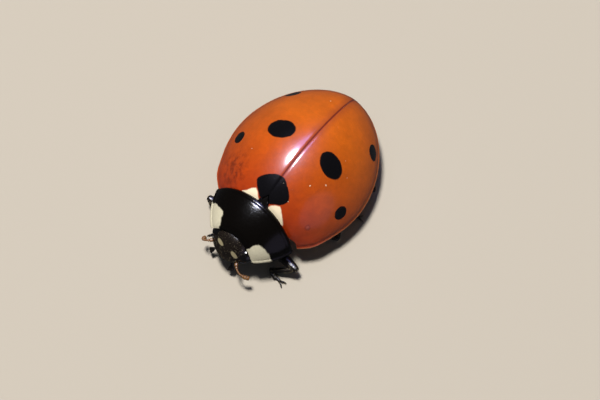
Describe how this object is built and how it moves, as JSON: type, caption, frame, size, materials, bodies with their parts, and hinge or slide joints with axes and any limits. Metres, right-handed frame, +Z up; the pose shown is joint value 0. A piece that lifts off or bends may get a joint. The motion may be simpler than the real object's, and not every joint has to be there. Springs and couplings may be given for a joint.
{
  "type": "seven-spot ladybird",
  "caption": "Seven-spot ladybird beetle crouched on the ground: domed red wing cases with black spots, black pronotum with white corners, head and legs tucked in.",
  "frame": {"origin": "centre of the bounding box's base, on the floor", "axes": "-Y is where the head points, +X is the insect's own left, +Z is up"},
  "size_m": [0.0054, 0.0076, 0.0032],
  "materials": {
    "red_shell": "glossy orange-red chitin with black spots",
    "black_shell": "glossy black chitin with white patches, finely pitted",
    "underside_black": "satin black chitin with fine pale hairs",
    "leg_black": "satin black chitin with fine pale hairs",
    "eye_black": "glossy black compound eye with fine facets",
    "feeler_brown": "satin brown chitin"
  },
  "bodies": {
    "root": {"elytron_left": "red_shell", "elytron_right": "red_shell", "scutellum": "black_shell", "pronotum": "black_shell", "prosternum": "underside_black", "mesothorax": "underside_black", "metathorax": "underside_black", "abdomen": "underside_black", "head": "black_shell", "labrum": "black_shell", "eye_left": "eye_black", "antenna_left": "feeler_brown", "palp_left": "leg_black", "mandible_left": "feeler_brown", "eye_right": "eye_black", "antenna_right": "feeler_brown", "palp_right": "leg_black", "mandible_right": "feeler_brown", "leg_front_left_coxa": "leg_black", "leg_front_left_femur": "leg_black", "leg_front_left_tibia": "leg_black", "leg_front_left_tarsus": "leg_black", "leg_front_right_coxa": "leg_black", "leg_front_right_femur": "leg_black", "leg_front_right_tibia": "leg_black", "leg_front_right_tarsus": "leg_black", "leg_mid_left_coxa": "leg_black", "leg_mid_left_femur": "leg_black", "leg_mid_left_tibia": "leg_black", "leg_mid_left_tarsus": "leg_black", "leg_mid_right_coxa": "leg_black", "leg_mid_right_femur": "leg_black", "leg_mid_right_tibia": "leg_black", "leg_mid_right_tarsus": "leg_black", "leg_hind_left_coxa": "leg_black", "leg_hind_left_femur": "leg_black", "leg_hind_left_tibia": "leg_black", "leg_hind_left_tarsus": "leg_black", "leg_hind_right_coxa": "leg_black", "leg_hind_right_femur": "leg_black", "leg_hind_right_tibia": "leg_black", "leg_hind_right_tarsus": "leg_black"}
  },
  "joints": []
}
